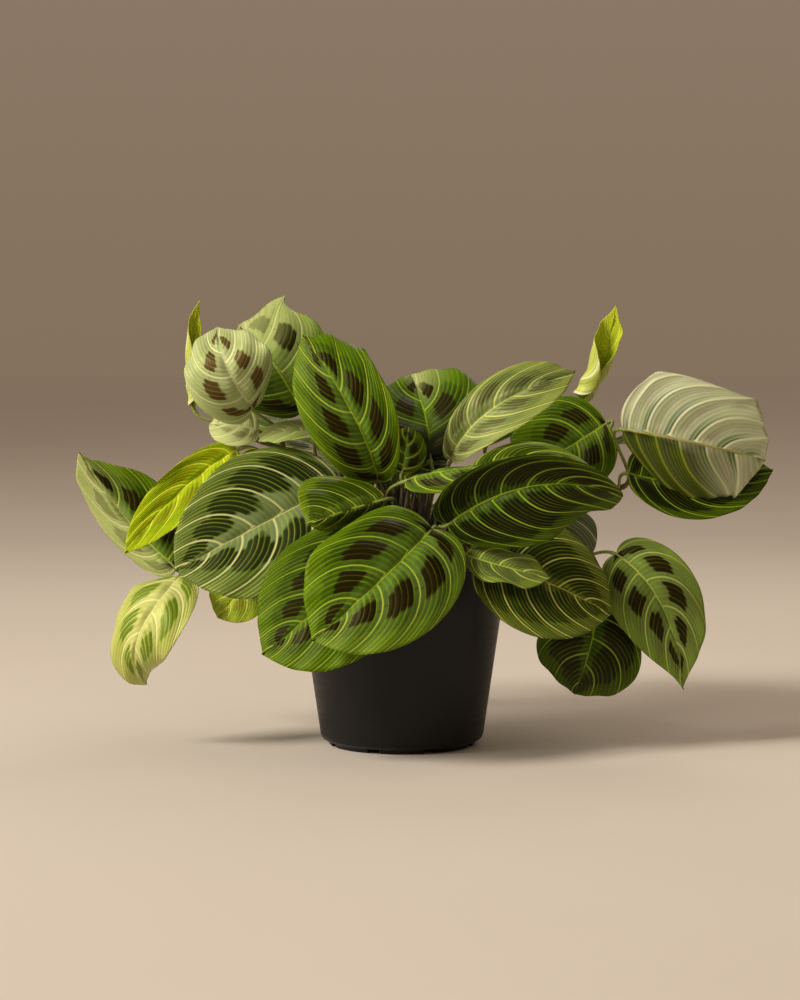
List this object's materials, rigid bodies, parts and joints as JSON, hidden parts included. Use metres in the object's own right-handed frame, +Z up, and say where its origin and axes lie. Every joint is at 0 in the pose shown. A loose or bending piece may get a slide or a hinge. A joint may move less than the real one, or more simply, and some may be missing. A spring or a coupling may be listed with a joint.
{
  "type": "potted prayer plant",
  "caption": "Low bushy prayer plant with large patterned oval leaves on thin stalks, growing in a plain tapered nursery pot.",
  "frame": {"origin": "on the pot's axis, at the level that the pot stands on", "axes": "+Z up, -Y towards the viewer of the picture, +X to the viewer's right"},
  "size_m": [0.3882, 0.2541, 0.2452],
  "materials": {
    "pot": "satin",
    "soil": "matte",
    "stem": "satin",
    "leaf": "satin",
    "pale": "satin",
    "fresh": "satin"
  },
  "bodies": {
    "root": {"pot": "pot", "soil": "soil", "stem_left": "stem", "stem_upper_left": "stem", "stem_centre": "stem", "stem_front": "stem", "stem_back_centre": "stem", "stem_right": "stem", "stem_low_right": "stem", "stem_back_left": "stem", "stem_back": "stem", "stem_back_right": "stem", "stem_cut": "stem", "leaf_front_low": "leaf", "leaf_front_left": "leaf", "leaf_centre_half": "leaf", "leaf_left_big": "leaf", "leaf_left_bright": "fresh", "leaf_left_strip": "fresh", "leaf_far_left": "leaf", "leaf_low_left": "fresh", "leaf_low_left_small": "fresh", "leaf_new_left": "fresh", "leaf_silver_left": "pale", "leaf_tall_left": "leaf", "leaf_under_silver": "pale", "leaf_glossy_left": "leaf", "leaf_tall_centre": "leaf", "leaf_back_centre": "leaf", "leaf_small_centre": "leaf", "leaf_pale_right": "pale", "leaf_right_behind": "leaf", "leaf_far_right": "pale", "leaf_far_right_low": "leaf", "leaf_centre_right": "leaf", "leaf_centre_curl": "leaf", "leaf_right_middle": "leaf", "leaf_new_right": "fresh", "leaf_low_right": "leaf", "leaf_low_right_dark": "leaf", "leaf_low_far_right": "leaf", "leaf_back_low_left": "leaf", "leaf_back_low": "leaf", "leaf_back_low_right": "leaf", "leaf_back_left": "leaf", "leaf_back_high_left": "leaf", "leaf_back_high": "leaf", "leaf_back_high_right": "leaf", "leaf_back_right": "leaf", "leaf_side_right": "leaf", "leaf_side_left": "leaf", "leaf_side_low_left": "leaf", "leaf_side_low_right": "leaf", "leaf_inner_left": "leaf", "leaf_inner_right": "leaf", "leaf_low_crinkle": "leaf", "leaf_inner_centre": "leaf"}
  },
  "joints": []
}
